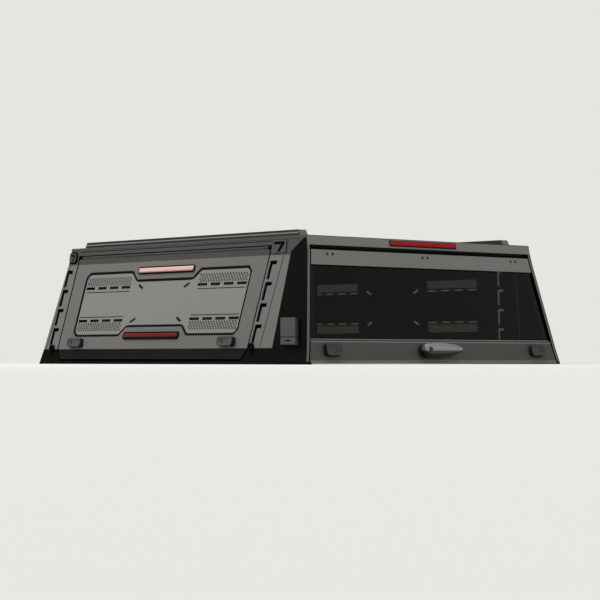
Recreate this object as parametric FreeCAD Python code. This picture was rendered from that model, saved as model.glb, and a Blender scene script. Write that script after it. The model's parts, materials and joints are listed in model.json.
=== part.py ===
import FreeCAD, Part
import math
import os
from FreeCAD import Vector

# Pickup truck canopy of folded sheet: two lift-up side doors, a lift-up rear glass door
# X points right, Y to the front, Z up, millimetres, origin under the middle of its box
# A station is a distance forward of the rear lower edge, a height is counted from the base

# Outer shell
base_length = 1688.0
base_half_width = 712.0
body_height = 489.0
low_fold_height = 62.0
low_fold_inset = 15.0
high_fold_drop = 71.0
high_fold_inset = 82.0
top_inset = 90.0
front_setback = 115.0
rear_setback = 96.0
sheet = 2.5
seam = 7.0
beyond = 60.0

# Base
seal_height = 6.0
base_flange_thickness = 4.5
base_flange_width = 70.0
clamp_hole_radius = 5.5
clamp_hole_inset = 45.0
clamp_end_margin = 324.0
seal_hole_gap = 7.0

# Hinges: a bead on the body runs inside a hook on the door
bead_radius = 3.0
hook_clearance = 0.4
hook_wall = 2.0
hinge_setback = 5.5
hinge_drop = 6.5
hinge_rise = 9.0
neck_half = 1.0
neck_reach = 9.0
hinge_leaf = 2.5
hook_angles = (-120.0, 60.0)
side_hinge_below_roof = 41.5
rear_hinge_below_roof = 45.5
hinge_end_gap = 18.0

# Side doors
door_shear = 0.15
door_front_margin = 174.0
door_rear_station = 294.0
door_bottom = 20.0
door_chamfer = 26.0
door_depth = 24.0
door_frame_width = 38.0
door_hem_gap = 3.0
hook_plate_height = 24.0
jamb_depth = 36.0
jamb_lip = 27.0

# Side door insert, with its centre line leaning like the door
insert_side_margin = 78.0
insert_top_margin = 58.0
insert_bottom_margin = 93.0
insert_corner = 22.0
insert_flange = 12.0
notch_depth = 37.0
notch_slope = 40.0
notch_lamp_gap = 3.0
slot_length = 54.0
slot_height = 7.0
slot_count = 4
slot_pitch = 80.0
slot_end_margin = 19.0
slot_row_margin = 67.0

# Lamps and lock covers of the side doors
lamp_length = 350.0
lamp_height = 20.0
lamp_proud = 8.0
lamp_inset = 2.0
lock_width = 90.0
lock_height = 37.0
lock_proud = 20.0
lock_corner = 9.0
lock_level = 87.0
lock_end_margin = 122.0

# Posts
rear_post_low_width = 138.0
rear_post_high_width = 112.0
post_top_rise = 9.0
quarter_foot_shift = 28.0
tie_slot_width = 11.0
tie_slot_bridge = 15.5
tie_slot_arm = 28.0
tie_slot_arm_height = 10.0
tie_slot_count = 4
tie_slot_top_gap = 24.0
tie_slot_bottom_gap = 22.0
front_slot_inset = 57.0
rear_slot_inset = 14.0

# Tie eyes and corner plates
eye_radius = 15.0
eye_bore = 7.5
eye_thickness = 10.0
eye_rise = 4.0
eye_tail = 34.0
front_eye_inset = 34.0
rear_eye_inset = 20.0
plate_proud = 5.0
plate_low_gap = 6.0
plate_height = 50.0
front_plate_inset = 3.0
front_plate_length = 56.0
rear_plate_inset = 7.0
rear_plate_length = 80.0
plate_slot_length = 34.0
plate_slot_height = 11.0

# Box on the rear quarter
access_box_margin = 57.0
access_box_length = 82.0
access_box_bottom = 71.0
access_box_height = 102.0
access_box_proud = 20.0
access_box_shift = 22.0

# Rear door
corner_strip = 12.0
rear_door_bottom = 12.0
rear_glass_depth = 10.0
rear_glass_thickness = 5.0
rear_glass_margin = 5.0
rear_frame_depth = 12.0
rear_frame_width = 45.0
top_plate_height = 57.0
bottom_rail_height = 82.5
bolt_radius = 3.0
bolt_spacing = 28.0
bolt_drop = 15.0
bolt_inset = 117.0
rear_lock_width = 82.0
rear_lock_height = 46.0
rear_lock_inset = 128.0
rear_lock_level = 54.0

# Rear handle
handle_level = 52.0
handle_pivot = -84.0
handle_base_radius = 26.0
handle_base_proud = 8.0
handle_gap = 0.5
handle_hub_radius = 17.0
lever_inner = 17.0
lever_face = 43.0
lever_reach = 190.0
lever_back = 24.0
lever_half_height = 22.0
lever_tip_half_height = 7.0
lever_bevel = 6.0

# Rear header and its light
header_light_half = 187.0
header_light_height = 22.0
header_light_gap = 7.5
header_light_proud = 4.0
header_light_depth = 14.0
light_clearance = 0.5

# Roof
roof_lip_height = 11.0
roof_lip_proud = 2.0
rail_width = 40.0
rail_height = 25.0
rail_inset = 35.0
rail_rear_station = 166.0
rail_front_margin = 158.0
rail_end_slope = 14.0
rail_slot = 11.0
rail_lip = 5.0
rail_groove = 26.0
rail_floor = 5.0
rib_count = 4
rib_width = 90.0
rib_rise = 5.0
rib_slope = 8.0
rib_side_margin = 232.0
rib_end_margin = 90.0

# Front wall window
window_side_margin = 152.0
window_bottom = 150.0
window_top_margin = 79.0
window_corner = 45.0
window_corner_steps = 4
window_lap = 16.0
window_thickness = 5.0

# Places worked out from the sizes
low_fold_half_width = base_half_width - low_fold_inset
high_fold_half_width = base_half_width - high_fold_inset
top_half_width = base_half_width - top_inset
high_fold_height = body_height - high_fold_drop
roof_underside = body_height - sheet
base_top = seal_height + base_flange_thickness
rear_lean = math.atan(rear_setback / body_height)
front_lean = math.atan(front_setback / body_height)
rear_reach = lever_face * math.cos(rear_lean) - handle_level * math.tan(rear_lean)
rear_edge = -(base_length - rear_reach) / 2
side_hinge_height = body_height - side_hinge_below_roof
rear_hinge_height = body_height - rear_hinge_below_roof
side_door_top = side_hinge_height - hinge_drop
side_opening_top = side_hinge_height + hinge_rise
rear_door_top = rear_hinge_height - hinge_drop
header_bottom = rear_hinge_height + hinge_rise
hook_inner = bead_radius + hook_clearance
hook_outer = hook_inner + hook_wall
door_front_station = base_length - door_front_margin
door_middle = (door_front_station + door_rear_station) / 2
eye_level = low_fold_height + eye_rise
insert_half = (door_front_station - door_rear_station) / 2 - insert_side_margin
insert_top = side_door_top - insert_top_margin
insert_bottom = door_bottom + insert_bottom_margin
notch_inner = lamp_length / 2 + notch_lamp_gap
notch_outer = notch_inner + notch_slope
slot_rows = (insert_bottom + slot_row_margin, insert_top - slot_row_margin)
lamp_levels = (insert_bottom + lamp_inset, insert_top - lamp_inset)
post_top = high_fold_height + post_top_rise
first_slot_top = high_fold_height - tie_slot_top_gap
last_slot_bottom = low_fold_height + tie_slot_bottom_gap
tie_slot_pitch = (first_slot_top - last_slot_bottom + tie_slot_bridge) / tie_slot_count
tie_slot_height = tie_slot_pitch - tie_slot_bridge
reach = 2 * base_half_width


# Straight geometry
def offset_points(points, distance, closed=True):
    """Moves each edge of an outline to its left by the distance, with mitred corners."""
    count = len(points)
    edges = count if closed else count - 1
    lines = []
    for index in range(edges):
        ax, ay = points[index]
        bx, by = points[(index + 1) % count]
        length = math.hypot(bx - ax, by - ay)
        nx, ny = -(by - ay) / length, (bx - ax) / length
        lines.append((nx, ny, nx * ax + ny * ay + distance))
    result = []
    for index in range(count):
        if not closed and index in (0, count - 1):
            nx, ny, _ = lines[0 if index == 0 else -1]
            result.append((points[index][0] + nx * distance, points[index][1] + ny * distance))
            continue
        n1x, n1y, d1 = lines[index - 1]
        n2x, n2y, d2 = lines[index % edges]
        cross = n1x * n2y - n1y * n2x
        result.append(((d1 * n2y - d2 * n1y) / cross, (n1x * d2 - n2x * d1) / cross))
    return result


def grow(points, distance):
    """Grows an outline given anticlockwise by a distance, or shrinks it when negative."""
    return offset_points(points, -distance)


def prism(corners, along):
    """A solid from a flat outline of points, pushed along a vector."""
    return Part.Face(Part.makePolygon(list(corners) + [corners[0]])).extrude(along)


def block(low, high):
    """An upright box between two corners."""
    size = [high[axis] - low[axis] for axis in range(3)]
    return Part.makeBox(size[0], size[1], size[2], Vector(*low))


# Side surface, worked out for the right side and mirrored for the left
low_run = low_fold_inset / low_fold_height
middle_run = (high_fold_inset - low_fold_inset) / (high_fold_height - low_fold_height)
high_run = (top_inset - high_fold_inset) / high_fold_drop
side_line = [
    (base_half_width + low_run * beyond, -beyond),
    (low_fold_half_width, low_fold_height),
    (high_fold_half_width, high_fold_height),
    (top_half_width - high_run * beyond, body_height + beyond),
]


def half_width(height, depth=0.0):
    """Half the width of the shell at a height, a depth of sheet inside its outer face."""
    line = offset_points(side_line, depth, closed=False)
    for (x1, z1), (x2, z2) in zip(line, line[1:]):
        if height <= z2 or (x2, z2) == line[-1]:
            return x1 + (x2 - x1) * (height - z1) / (z2 - z1)
    return line[-1][0]


def rear_station(height, depth=0.0):
    """Station of the rear face at a height, a depth inside its outer face."""
    return rear_setback * height / body_height + depth / math.cos(rear_lean)


def front_station(height, depth=0.0):
    """Station of the front face at a height, a depth inside its outer face."""
    return base_length - front_setback * height / body_height - depth / math.cos(front_lean)


def side_piece(outline, outer, inner):
    """The side surface between two depths, cut to an outline of stations and heights."""
    section = offset_points(side_line, outer, closed=False)
    section += offset_points(side_line, inner, closed=False)[::-1]
    start = rear_edge - beyond
    shell = prism([Vector(x, start, z) for x, z in section], Vector(0, base_length + 2 * beyond, 0))
    cutter = prism([Vector(0, rear_edge + s, z) for s, z in outline], Vector(reach, 0, 0))
    return shell.common(cutter)


def end_piece(outline, outer, inner, station):
    """The rear or front face between two depths, cut to an outline of widths and heights."""
    span = 2 * reach
    edges = [(outer, -beyond), (outer, body_height + beyond), (inner, body_height + beyond), (inner, -beyond)]
    section = [Vector(-span / 2, rear_edge + station(z, depth), z) for depth, z in edges]
    shell = prism(section, Vector(span, 0, 0))
    start = rear_edge - 2 * beyond
    cutter = prism([Vector(x, start, z) for x, z in outline], Vector(0, base_length + 4 * beyond, 0))
    return shell.common(cutter)


def rear_piece(outline, outer, inner):
    return end_piece(outline, outer, inner, rear_station)


def front_piece(outline, outer, inner):
    return end_piece(outline, outer, inner, front_station)


def end_outline(low, high, depth, inset=0.0):
    """A rear or front outline between two heights, inside the side sheets."""
    folds = offset_points(side_line, depth, closed=False)[1:-1]
    right = [(half_width(low, depth) - inset, low)]
    right += [(x - inset, z) for x, z in folds if low < z < high]
    right.append((half_width(high, depth) - inset, high))
    return right + [(-x, z) for x, z in right[::-1]]


def rectangle(x1, z1, x2, z2):
    return [(x1, z1), (x2, z1), (x2, z2), (x1, z2)]


def ring(piece, outside, inside, outer, inner):
    """A frame between two outlines and two depths of one surface."""
    return piece(outside, outer, inner).cut(piece(inside, outer - sheet, inner + sheet))


def mirrored(shape):
    return shape.mirror(Vector(0, 0, 0), Vector(1, 0, 0))


def joined(shapes):
    whole = shapes[0].fuse(shapes[1:]) if len(shapes) > 1 else shapes[0]
    return whole.removeSplitter()


def save(name, shape):
    shape.exportStep("parts/" + name + ".step")


def save_sides(name, shape):
    """Writes a right-hand piece and its left-hand mirror image."""
    save(name + "_right", shape)
    save(name + "_left", mirrored(shape))


# Outlines of the side
def door_front(height):
    return door_front_station + door_shear * (side_door_top - height)


def door_rear(height):
    return door_rear_station + door_shear * (side_door_top - height)


def door_outline(margin, top):
    """The side door's outline grown by a margin, up to a height."""
    corner_top = top - margin
    points = [
        (door_rear(low_fold_height) + door_chamfer, door_bottom),
        (door_front(low_fold_height) - door_chamfer, door_bottom),
        (door_front(low_fold_height), low_fold_height),
        (door_front(corner_top), corner_top),
        (door_rear(corner_top), corner_top),
        (door_rear(low_fold_height), low_fold_height),
    ]
    return grow(points, margin) if margin else points


def insert_point(along, height):
    """A station and height on the insert, counted from its leaning centre line."""
    return (door_middle + door_shear * (side_door_top - height) + along, height)


def insert_outline(margin):
    """The insert's outline, with a notch for each lamp, grown by a margin."""
    low, high = insert_bottom, insert_top
    bottom_half = [
        (-notch_inner, low + notch_depth),
        (notch_inner, low + notch_depth),
        (notch_outer, low),
        (insert_half - insert_corner, low),
        (insert_half, low + insert_corner),
    ]
    top_half = [
        (insert_half, high - insert_corner),
        (insert_half - insert_corner, high),
        (notch_outer, high),
        (notch_inner, high - notch_depth),
        (-notch_inner, high - notch_depth),
        (-notch_outer, high),
        (-insert_half + insert_corner, high),
        (-insert_half, high - insert_corner),
    ]
    rear_corner = [
        (-insert_half, low + insert_corner),
        (-insert_half + insert_corner, low),
        (-notch_outer, low),
    ]
    points = [insert_point(along, height) for along, height in bottom_half + top_half + rear_corner]
    return grow(points, margin) if margin else points


def post_rear(height):
    """The rear edge of the rear post."""
    low = door_rear(low_fold_height) - seam - rear_post_low_width
    high = door_rear_station - seam - rear_post_high_width
    return low + (high - low) * (height - low_fold_height) / (post_top - low_fold_height)


def leaning(middle, low, length, height):
    """An outline that leans like the door, with level top and bottom."""
    shift = door_shear * height
    return [
        (middle - length / 2, low),
        (middle + length / 2, low),
        (middle + length / 2 - shift, low + height),
        (middle - length / 2 - shift, low + height),
    ]


# Roof
def roof_panel():
    """The roof sheet with pressed ribs and a lip folded down over each side."""
    right = [(half_width(roof_underside), roof_underside), (top_half_width, body_height)]
    section = right + [(-x, z) for x, z in right[::-1]]
    start = rear_edge + rear_station(body_height)
    length = front_station(body_height) - rear_station(body_height)
    panel = prism([Vector(x, start, z) for x, z in section], Vector(0, length, 0))
    low = body_height - roof_lip_height
    lip_outline = [
        (rear_station(low), low),
        (front_station(low), low),
        (front_station(body_height), body_height),
        (rear_station(body_height), body_height),
    ]
    lip = side_piece(lip_outline, -roof_lip_proud, 0)
    panel = panel.fuse([lip, mirrored(lip)])
    rear_end = rear_edge + rear_station(body_height) + rib_end_margin
    front_end = rear_edge + front_station(body_height) - rib_end_margin
    rib_pitch = 2 * (top_half_width - rib_side_margin - rib_width / 2) / (rib_count - 1)
    for index in range(rib_count):
        middle = (index - (rib_count - 1) / 2) * rib_pitch
        panel = panel.fuse(rib(middle, rear_end, front_end, 0.0, body_height - sheet / 2, body_height + rib_rise))
        hollow = rib(middle, rear_end, front_end, sheet, roof_underside - sheet, body_height + rib_rise - sheet)
        panel = panel.cut(hollow)
    return panel.removeSplitter()


def rib(middle, rear_end, front_end, inset, low, high):
    """A pressed rib of the roof with sloping sides, or the hollow under it."""
    loops = []
    for height, extra in ((low, 0.0), (high, rib_slope)):
        cut = inset + extra
        left, right = middle - rib_width / 2 + cut, middle + rib_width / 2 - cut
        rear, front = rear_end + cut, front_end - cut
        corners = [(left, rear), (right, rear), (right, front), (left, front), (left, rear)]
        loops.append(Part.makePolygon([Vector(x, y, height) for x, y in corners]))
    return Part.makeLoft(loops, True, True)


def roof_rail():
    """A slotted rail lying on the right edge of the roof, with sloping ends."""
    rail_outer = top_half_width - rail_inset
    rail_front_station = base_length - rail_front_margin
    top = body_height + rail_height
    ends = [
        (rail_rear_station, body_height),
        (rail_front_station, body_height),
        (rail_front_station - rail_end_slope, top),
        (rail_rear_station + rail_end_slope, top),
    ]
    rail = prism([Vector(rail_outer - rail_width, rear_edge + s, z) for s, z in ends], Vector(rail_width, 0, 0))
    middle = rail_outer - rail_width / 2
    low_y = rear_edge + rail_rear_station - sheet
    high_y = rear_edge + rail_front_station + sheet
    floor = body_height + rail_floor
    for width, ceiling in ((rail_slot, top + sheet), (rail_groove, top - rail_lip)):
        rail = rail.cut(block((middle - width / 2, low_y, floor), (middle + width / 2, high_y, ceiling)))
    return rail


# Rear header
def light_outline(margin):
    low = header_bottom + header_light_gap
    high = low + header_light_height
    return rectangle(-header_light_half - margin, low - margin, header_light_half + margin, high + margin)


def rear_header():
    """A folded channel over the rear door, with a cut-out for the light."""
    fascia = rear_piece(end_outline(header_bottom, roof_underside, sheet), 0, sheet)
    lip = rear_piece(end_outline(header_bottom, header_bottom + sheet, sheet), sheet, jamb_depth)
    web = rear_piece(end_outline(header_bottom, roof_underside, sheet), jamb_depth - sheet, jamb_depth)
    cut = rear_piece(light_outline(light_clearance), -sheet, sheet * 2)
    return joined([fascia, lip, web]).cut(cut)


def brake_light():
    """The light in the header: a lens with a rim that backs onto the fascia."""
    lens = rear_piece(light_outline(0), -header_light_proud, header_light_depth)
    rim = rear_piece(light_outline(sheet), sheet, header_light_depth)
    return joined([lens, rim])


# Front wall
def window_outline(margin):
    """The window's outline grown by a margin, with rounded corners."""
    half = top_half_width - window_side_margin + margin
    low, high = window_bottom - margin, body_height - window_top_margin + margin
    radius = window_corner + margin
    points = []
    for x, z, start in ((half, low, -90), (half, high, 0), (-half, high, 90), (-half, low, 180)):
        centre_x = x - math.copysign(radius, x)
        centre_z = z + radius if z == low else z - radius
        for step in range(window_corner_steps + 1):
            angle = math.radians(start) + math.pi / 2 * step / window_corner_steps
            points.append((centre_x + radius * math.cos(angle), centre_z + radius * math.sin(angle)))
    return points


def front_wall():
    wall = front_piece(end_outline(seal_height, roof_underside, sheet), 0, sheet)
    return wall.cut(front_piece(window_outline(0), -sheet, 2 * sheet))


def front_window():
    return front_piece(window_outline(window_lap), sheet, sheet + window_thickness)


# Base
def base_outline(depth, low, high):
    return [
        (rear_station(low, depth), low),
        (front_station(low, depth), low),
        (front_station(high, depth), high),
        (rear_station(high, depth), high),
    ]


def base_ring(outer, width, low, high, clearance):
    """A strip along both sides and the front of the base."""
    side = side_piece(base_outline(clearance, low, high), outer, outer + width)
    front = front_piece(end_outline(low, high, outer), clearance, clearance + width)
    return joined([side, mirrored(side), front])


def base_frame():
    frame = base_ring(sheet, base_flange_width, seal_height, base_top, sheet)
    for station in (clamp_end_margin, base_length / 2, base_length - clamp_end_margin):
        for side in (-1, 1):
            x = side * (half_width(seal_height, sheet) - clamp_hole_inset)
            centre = Vector(x, rear_edge + station, 0)
            frame = frame.cut(Part.makeCylinder(clamp_hole_radius, base_top + 1, centre))
    return frame


def base_seal():
    return base_ring(0.0, clamp_hole_inset - clamp_hole_radius - seal_hole_gap, 0.0, seal_height, 0.0)


# Side shell
def cant_rail():
    """The folded strip over the side door, which widens beyond the door's ends."""
    low = high_fold_height
    outline = [
        (post_rear(low), low),
        (door_rear(low) - seam, low),
        (door_rear(side_opening_top) - seam, side_opening_top),
        (door_front(side_opening_top) + seam, side_opening_top),
        (door_front(low) + seam, low),
        (front_station(low), low),
        (front_station(roof_underside), roof_underside),
        (rear_station(roof_underside), roof_underside),
        (post_rear(post_top), post_top),
    ]
    return side_piece(outline, 0, sheet)


def tie_slot(station, top):
    """One tie slot: an upright slit with an arm at its top."""
    low = top - tie_slot_height
    lean = door_shear * tie_slot_height
    arm_lean = door_shear * tie_slot_arm_height
    half = tie_slot_width / 2
    return [
        (station + lean - half, low),
        (station + lean + half, low),
        (station + half, top),
        (station - tie_slot_arm, top),
        (station - tie_slot_arm + arm_lean, top - tie_slot_arm_height),
        (station + arm_lean - half, top - tie_slot_arm_height),
    ]


def with_tie_slots(post, station):
    """Cuts the row of tie slots through a post, from a station at its first slot's top."""
    for index in range(tie_slot_count):
        drop = index * tie_slot_pitch
        outline = tie_slot(station + door_shear * drop, first_slot_top - drop)
        post = post.cut(side_piece(outline, -sheet, 2 * sheet))
    return with_eye_holes(post)


def front_post():
    low, high = low_fold_height, high_fold_height
    outline = [
        (door_front(low) + seam, low),
        (front_station(low), low),
        (front_station(high), high),
        (door_front(high) + seam, high),
    ]
    return with_tie_slots(side_piece(outline, 0, sheet), door_front(high) + seam + front_slot_inset)


def rear_post():
    low, high = low_fold_height, high_fold_height
    outline = [
        (post_rear(low), low),
        (door_rear(low) - seam, low),
        (door_rear(high) - seam, high),
        (post_rear(high), high),
    ]
    return with_tie_slots(side_piece(outline, 0, sheet), door_rear(high) - seam - rear_slot_inset)


def rear_quarter():
    low = seal_height
    outline = [
        (rear_station(low), low),
        (post_rear(low_fold_height) - quarter_foot_shift, low),
        (post_rear(low_fold_height), low_fold_height),
        (post_rear(post_top), post_top),
        (rear_station(roof_underside), roof_underside),
    ]
    return side_piece(outline, 0, sheet)


def lower_skirt():
    low = seal_height
    outline = [
        (post_rear(low_fold_height) - quarter_foot_shift, low),
        (front_station(low), low),
        (front_station(low_fold_height), low_fold_height),
        (post_rear(low_fold_height), low_fold_height),
    ]
    skirt = side_piece(outline, 0, sheet)
    skirt = skirt.cut(side_piece(door_outline(seam, side_opening_top), -sheet, 2 * sheet))
    return with_eye_holes(skirt)


def side_jamb():
    """The channel round the door opening, with a lip that carries the door's seal."""
    opening = door_outline(seam, side_opening_top)
    outside = door_outline(seam + sheet, side_opening_top + sheet)
    channel = ring(side_piece, outside, opening, sheet, jamb_depth)
    doorway = door_outline(seam - jamb_lip, side_opening_top - jamb_lip)
    lip = ring(side_piece, opening, doorway, jamb_depth - sheet, jamb_depth)
    return joined([channel, lip])


def rear_jamb():
    """The rear corner channels, joined over the door by the lip that carries its seal."""
    outside = end_outline(base_top, header_bottom, sheet)
    opening = end_outline(-beyond, header_bottom + beyond, sheet, corner_strip)
    corners = ring(rear_piece, outside, opening, 0, jamb_depth)
    opening = end_outline(base_top, header_bottom, sheet, corner_strip)
    doorway = end_outline(-beyond, header_bottom - jamb_lip, sheet, corner_strip + jamb_lip)
    lip = ring(rear_piece, opening, doorway, jamb_depth - sheet, jamb_depth)
    return joined([corners, lip])


# Tie eyes and corner plates
eye_stations = (
    door_rear(low_fold_height) - seam - rear_eye_inset,
    door_front(low_fold_height) + seam + front_eye_inset,
)


def eye_cylinder(station, radius, proud):
    """A cylinder square to the side face, half of it proud of the face."""
    outward = Vector(1.0, 0, middle_run).normalize()
    start = Vector(half_width(eye_level), rear_edge + station, eye_level) + outward * proud
    return Part.makeCylinder(radius, 2 * proud, start, outward * -1)


def eye_bore_hole(station):
    return eye_cylinder(station, eye_bore, 2 * eye_thickness)


def with_eye_holes(shape):
    for station in eye_stations:
        shape = shape.cut(eye_bore_hole(station))
    return shape


def tie_eye(station):
    """A round eye with a tail, standing on the skirt and the post."""
    disc = eye_cylinder(station, eye_radius, eye_thickness)
    half = eye_radius * 0.6
    tail = rectangle(station - half, eye_level - eye_tail, station + half, eye_level)
    whole = side_piece(rectangle(station - reach, seal_height, station + reach, body_height), -reach / 2, 0)
    disc = disc.common(whole)
    return joined([disc, side_piece(tail, -eye_thickness / 2, 0)]).cut(eye_bore_hole(station))


def corner_plate(rear, length):
    """A flat plate over the end of the cant rail, with a slot through it."""
    low = high_fold_height + plate_low_gap
    middle, level = rear + length / 2, low + plate_height / 2
    plate = side_piece(rectangle(rear, low, rear + length, low + plate_height), -plate_proud, 0)
    half_length, half_height = plate_slot_length / 2, plate_slot_height / 2
    slot = rectangle(middle - half_length, level - half_height, middle + half_length, level + half_height)
    return plate.cut(side_piece(slot, -2 * plate_proud, sheet))


def tie_points():
    pieces = [tie_eye(station) for station in eye_stations]
    front = door_front(high_fold_height) + seam + front_plate_inset
    rear = door_rear_station - seam - rear_plate_inset - rear_plate_length
    pieces += [corner_plate(front, front_plate_length), corner_plate(rear, rear_plate_length)]
    return Part.Compound(pieces)


def bevelled(shape, size, direction=None):
    """Bevels a block's edges, or only those that run along a direction."""
    edges = shape.Edges
    if direction is not None:
        edges = [edge for edge in edges if abs(edge.tangentAt(edge.FirstParameter).dot(direction)) > 0.9]
    return shape.makeChamfer(size, edges)


def access_box():
    """The closed box on the rear quarter, leaning like the post."""
    low, high = access_box_bottom, access_box_bottom + access_box_height
    rear, front = access_box_margin, access_box_margin + access_box_length
    outline = [
        (rear, low),
        (front, low),
        (front + access_box_shift, high),
        (rear + access_box_shift, high),
    ]
    return side_piece(outline, -access_box_proud, 0)


# Hinges
def arc_band(place, along, radii, angles):
    """A curved wall round the hinge line, between two radii and two angles."""
    inner, outer = radii
    first, last = [math.radians(angle) for angle in angles]
    middle = (first + last) / 2

    def at(radius, angle):
        return place(radius * math.cos(angle), radius * math.sin(angle))

    edges = [
        Part.Arc(at(outer, first), at(outer, middle), at(outer, last)).toShape(),
        Part.LineSegment(at(outer, last), at(inner, last)).toShape(),
        Part.Arc(at(inner, last), at(inner, middle), at(inner, first)).toShape(),
        Part.LineSegment(at(inner, first), at(outer, first)).toShape(),
    ]
    return Part.Face(Part.Wire(edges)).extrude(along)


def strip(place, along, corners):
    return prism([place(out, up) for out, up in corners], along)


def fixed_hinge(place, along):
    """A bead on a neck that hangs from the body above the door."""
    direction = Vector(along).normalize()
    bead = Part.makeCylinder(bead_radius, along.Length, place(0, 0), direction)
    neck = strip(place, along, rectangle(-neck_reach - hinge_leaf, -neck_half, 0, neck_half))
    riser = strip(place, along, rectangle(-neck_reach - hinge_leaf, -neck_half, -neck_reach, hinge_rise))
    return joined([bead, neck, riser])


def door_hook(place, along):
    return arc_band(place, along, (hook_inner, hook_outer), hook_angles)


side_hinge_x = half_width(side_hinge_height) - hinge_setback
side_hinge_rear = rear_edge + door_rear(side_hinge_height) + hinge_end_gap
side_hinge_along = Vector(0, door_front_station - door_rear_station - 2 * hinge_end_gap, 0)


def side_place(out, up):
    return Vector(side_hinge_x + out, side_hinge_rear, side_hinge_height + up)


rear_hinge_y = rear_edge + rear_station(rear_hinge_height) + hinge_setback
rear_hinge_half = half_width(rear_hinge_height, sheet) - corner_strip - seam - hinge_end_gap
rear_hinge_along = Vector(2 * rear_hinge_half, 0, 0)


def rear_place(out, up):
    return Vector(-rear_hinge_half, rear_hinge_y - out, rear_hinge_height + up)


# Side door
def side_door_skin():
    skin = side_piece(door_outline(0, side_door_top), 0, sheet)
    return skin.cut(side_piece(insert_outline(0), -sheet, 2 * sheet))


def side_door_frame():
    """The channel behind the skin, with the hook that hangs it on the hinge bead."""
    hem = door_outline(-door_hem_gap, side_door_top - door_hem_gap)
    edge = door_outline(-door_hem_gap - sheet, side_door_top - door_hem_gap - sheet)
    border = door_hem_gap + door_frame_width
    inner_edge = door_outline(-border + sheet, side_door_top - border + sheet)
    inner = door_outline(-border, side_door_top - border)
    channel = ring(side_piece, hem, inner, sheet, door_depth)
    hollow = ring(side_piece, edge, inner_edge, 0, door_depth - sheet)
    plate_low = side_hinge_height - hook_inner - hook_wall / 2 - hook_plate_height
    plate = rectangle(side_hinge_rear - rear_edge, plate_low,
                      side_hinge_rear - rear_edge + side_hinge_along.y, side_hinge_height - hook_inner - hook_wall / 2)
    hook = door_hook(side_place, side_hinge_along)
    return joined([channel.cut(hollow), hook, side_piece(plate, sheet, hinge_setback - neck_half)])


def side_door_insert():
    """The recessed panel of the door, with four groups of slots."""
    panel = side_piece(insert_outline(insert_flange), sheet, 2 * sheet)
    for row in slot_rows:
        for side in (-1, 1):
            for index in range(slot_count):
                along = side * (insert_half - slot_end_margin - slot_length / 2 - index * slot_pitch)
                middle, _ = insert_point(along, row - slot_height / 2)
                slot = leaning(middle, row - slot_height / 2, slot_length, slot_height)
                panel = panel.cut(side_piece(slot, 0, 3 * sheet))
    return panel


def side_door_lamps():
    """The two bars in the notches of the insert."""
    bars = []
    for level in lamp_levels:
        middle, low = insert_point(0, level - lamp_height / 2)
        bars.append(side_piece(leaning(middle, low, lamp_length, lamp_height), -lamp_proud, 0))
    return Part.Compound(bars)


def side_door_locks():
    """The two lock covers near the door's lower corners."""
    covers = []
    low = lock_level - lock_height / 2
    rear, front = door_rear(lock_level) + lock_end_margin, door_front(lock_level) - lock_end_margin
    for station in (rear, front):
        outline = rectangle(station - lock_width / 2, low, station + lock_width / 2, low + lock_height)
        cover = side_piece(outline, -lock_proud, 0)
        covers.append(bevelled(cover, lock_corner, Vector(1, 0, 0)))
    return Part.Compound(covers)


# Rear door
def rear_door_outline(low, high, inset=0.0):
    return end_outline(low, high, sheet, corner_strip + seam + inset)


def rear_glass():
    outline = rear_door_outline(rear_door_bottom + rear_glass_margin, rear_door_top - rear_glass_margin)
    return rear_piece(outline, rear_glass_depth, rear_glass_depth + rear_glass_thickness)


def rear_door_frame():
    """The channel behind the glass, with the hook that hangs the door on the hinge bead."""
    front = rear_glass_depth + rear_glass_thickness
    back = front + rear_frame_depth
    outside = rear_door_outline(rear_door_bottom, rear_door_top)
    low, high = rear_door_bottom + sheet, rear_door_top - sheet
    edge = rear_door_outline(low, high, sheet)
    low, high = rear_door_bottom + rear_frame_width, rear_door_top - rear_frame_width
    inside = rear_door_outline(low, high, rear_frame_width)
    inner_edge = rear_door_outline(low - sheet, high + sheet, rear_frame_width - sheet)
    channel = ring(rear_piece, outside, inside, front, back)
    hollow = ring(rear_piece, edge, inner_edge, front - sheet, back - sheet)
    hook = door_hook(rear_place, rear_hinge_along)
    high = rear_hinge_height - hook_inner - hook_wall / 2
    plate = rectangle(-rear_hinge_half, rear_door_top - sheet, rear_hinge_half, high)
    return joined([channel.cut(hollow), hook, rear_piece(plate, sheet, front + sheet)])


def rail_channel(low, high):
    """A folded strip across the rear door, open towards the glass."""
    face = rear_piece(rear_door_outline(low, high), 0, sheet)
    lower = rear_piece(rear_door_outline(low, low + sheet), sheet, rear_glass_depth)
    upper = rear_piece(rear_door_outline(high - sheet, high), sheet, rear_glass_depth)
    return joined([face, lower, upper])


def rear_door_top_plate():
    top = rear_door_top - sheet
    plate = rail_channel(top - top_plate_height, top)
    level = top - bolt_drop
    bolt_reach = high_fold_half_width - bolt_inset
    for place in (-bolt_reach, 0.0, bolt_reach):
        for side in (-1, 1):
            centre, outward = rear_surface(place + side * bolt_spacing / 2, level, -sheet)
            plate = plate.cut(Part.makeCylinder(bolt_radius, 3 * sheet, centre, outward * -1))
    return plate


def rear_surface(x, height, depth):
    """A point of the rear face and its outward direction."""
    outward = Vector(0, -math.cos(rear_lean), math.sin(rear_lean))
    return Vector(x, rear_edge + rear_station(height), height) - outward * depth, outward


def rear_locks():
    covers = []
    low, high = rear_lock_level - rear_lock_height / 2, rear_lock_level + rear_lock_height / 2
    for side in (-1, 1):
        middle = side * (half_width(rear_lock_level) - rear_lock_inset)
        outline = rectangle(middle - rear_lock_width / 2, low, middle + rear_lock_width / 2, high)
        cover = rear_piece(outline, -lock_proud, 0)
        covers.append(bevelled(cover, lock_corner, Vector(0, 1, 0)))
    return Part.Compound(covers)


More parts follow.
